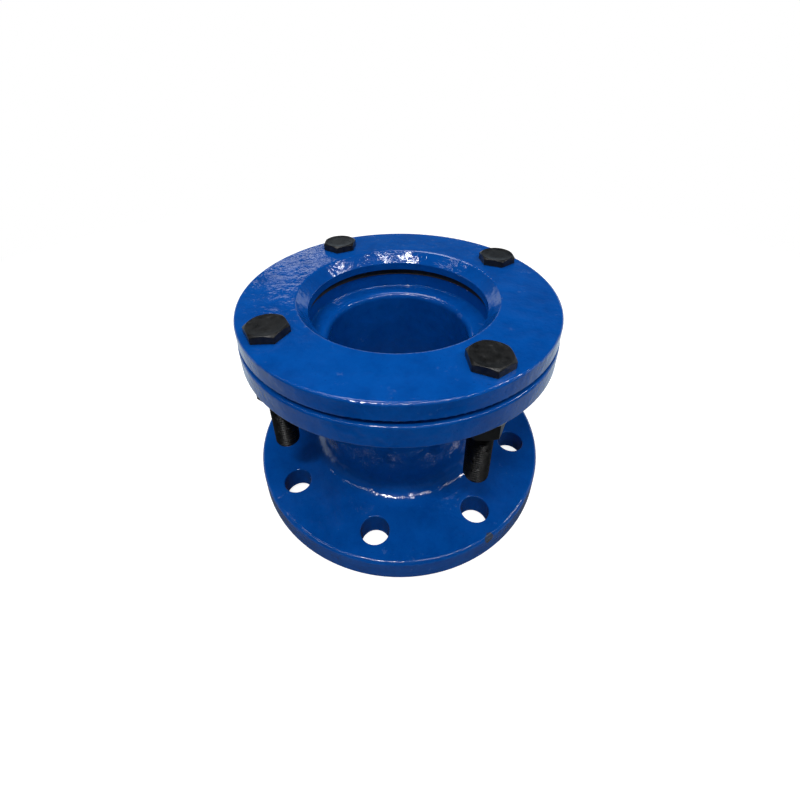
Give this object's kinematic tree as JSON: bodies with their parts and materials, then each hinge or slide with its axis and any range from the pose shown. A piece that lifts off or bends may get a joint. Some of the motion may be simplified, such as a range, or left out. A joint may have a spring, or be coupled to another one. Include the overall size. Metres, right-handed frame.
{
  "type": "flange adaptor",
  "caption": "Flanged pipe adaptor with a bolted gland ring that squeezes a gasket onto a plain pipe end, the adaptor half of a dismantling joint.",
  "frame": {"origin": "centre of the bottom flange's raised face", "axes": "+Z along the pipe axis, from the flange towards the gland's mouth; the bolts stand at 45, 135, 225 and 315 degrees from +X"},
  "size_m": [0.22, 0.22, 0.1535],
  "materials": {
    "blue_epoxy": "glossy fusion-bonded blue epoxy over a cast skin",
    "black_rubber": "matt black rubber",
    "black_bolt_steel": "black oxide, slightly oily",
    "zinc_washer": "bright zinc plate"
  },
  "bodies": {
    "body": {"body_casting": "blue_epoxy", "gasket": "black_rubber", "nut_1": "black_bolt_steel", "nut_2": "black_bolt_steel", "nut_3": "black_bolt_steel", "nut_4": "black_bolt_steel", "washer_1": "zinc_washer", "washer_2": "zinc_washer", "washer_3": "zinc_washer", "washer_4": "zinc_washer"},
    "gland": {"gland_ring": "blue_epoxy"},
    "bolt_a": {"bolt_1": "black_bolt_steel"},
    "bolt_b": {"bolt_2": "black_bolt_steel"},
    "bolt_c": {"bolt_3": "black_bolt_steel"},
    "bolt_d": {"bolt_4": "black_bolt_steel"}
  },
  "joints": [
    {"name": "gland_slide", "type": "slide", "parent": "body", "child": "gland", "axis": [0, 0, 1], "range_m": [0, 0.01]},
    {"name": "bolt_a_turn", "type": "hinge", "parent": "gland", "child": "bolt_a", "pos_m": [0.06364, 0.06364, 0.148], "axis": [0, 0, 1], "range_deg": [0, 1800]},
    {"name": "bolt_b_turn", "type": "hinge", "parent": "gland", "child": "bolt_b", "pos_m": [-0.06364, 0.06364, 0.148], "axis": [0, 0, 1], "range_deg": [0, 1800]},
    {"name": "bolt_c_turn", "type": "hinge", "parent": "gland", "child": "bolt_c", "pos_m": [-0.06364, -0.06364, 0.148], "axis": [0, 0, 1], "range_deg": [0, 1800]},
    {"name": "bolt_d_turn", "type": "hinge", "parent": "gland", "child": "bolt_d", "pos_m": [0.06364, -0.06364, 0.148], "axis": [0, 0, 1], "range_deg": [0, 1800]}
  ],
  "couplings": [
    {"joint": "bolt_a_turn", "follows": "gland_slide", "rad_per_m": 3141.6},
    {"joint": "bolt_b_turn", "follows": "gland_slide", "rad_per_m": 3141.6},
    {"joint": "bolt_c_turn", "follows": "gland_slide", "rad_per_m": 3141.6},
    {"joint": "bolt_d_turn", "follows": "gland_slide", "rad_per_m": 3141.6}
  ]
}
